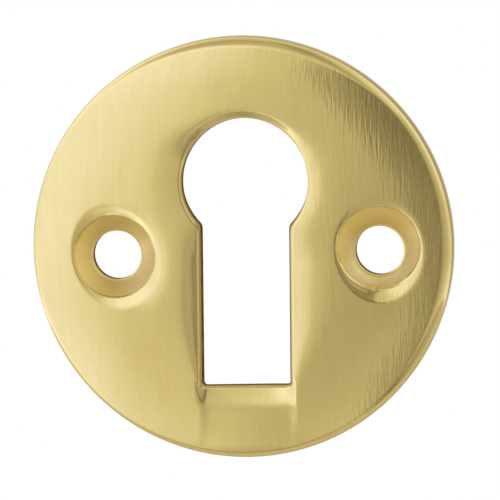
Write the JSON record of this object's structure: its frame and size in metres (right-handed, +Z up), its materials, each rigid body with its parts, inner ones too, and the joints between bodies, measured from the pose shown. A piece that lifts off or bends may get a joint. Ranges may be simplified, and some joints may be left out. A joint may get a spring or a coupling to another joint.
{
  "type": "keyhole escutcheon",
  "caption": "Round domed escutcheon plate of satin brass sheet, with a rolled rim, a keyhole of a round end over a straight slot, and countersunk screw holes pressed back beside it.",
  "frame": {"origin": "centre of the disc, in the plane of the back face that lies on the door or drawer front", "axes": "+X to the right along the line of the two screw holes, +Z up towards the round end of the keyhole, and +Y into the door, so the plate looks towards -Y"},
  "size_m": [0.032, 0.0028, 0.032],
  "materials": {
    "brass": "satin, brushed upright"
  },
  "bodies": {
    "root": {"escutcheon_plate": "brass"}
  },
  "joints": []
}
